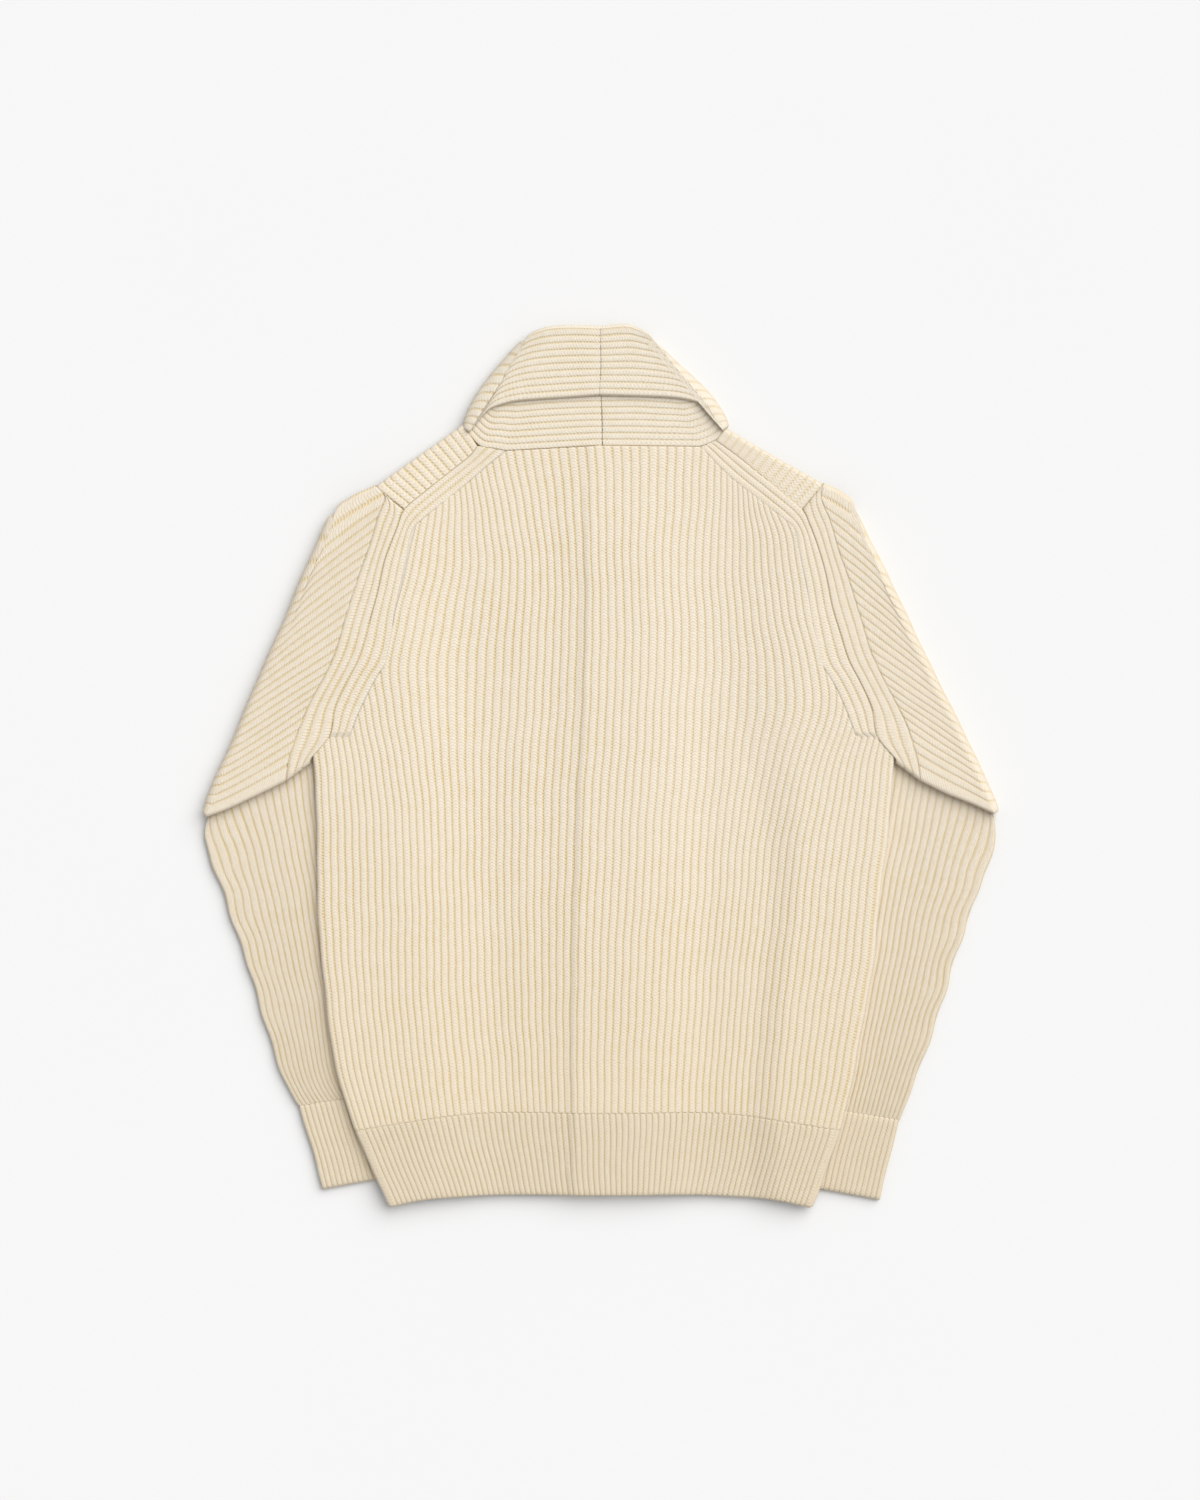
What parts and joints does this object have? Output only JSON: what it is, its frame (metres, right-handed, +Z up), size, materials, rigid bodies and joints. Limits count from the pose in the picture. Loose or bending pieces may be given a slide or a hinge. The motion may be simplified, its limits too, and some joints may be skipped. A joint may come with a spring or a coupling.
{
  "type": "shawl collar cardigan",
  "caption": "Heavy ribbed wool cardigan with a folded shawl collar, lying face down and flat with its sleeves folded under.",
  "frame": {"origin": "centre of the outline, on the surface that the garment lies on", "axes": "+X to the right as seen from above with the collar away from the viewer, +Y towards the collar, +Z up, out of the back"},
  "size_m": [0.7478, 0.8315, 0.0176],
  "materials": {
    "body_knit": "heavy fisherman's rib in undyed wool",
    "band_knit": "close rib in undyed wool",
    "collar_knit": "heavy rib in undyed wool, worn double"
  },
  "bodies": {
    "root": {"back": "body_knit", "back_hem": "band_knit", "front_left": "body_knit", "front_right": "body_knit", "front_hem_left": "band_knit", "front_hem_right": "band_knit", "sleeve_left": "body_knit", "sleeve_right": "body_knit", "cuff_left": "band_knit", "cuff_right": "band_knit", "collar_left": "collar_knit", "collar_right": "collar_knit"}
  },
  "joints": []
}
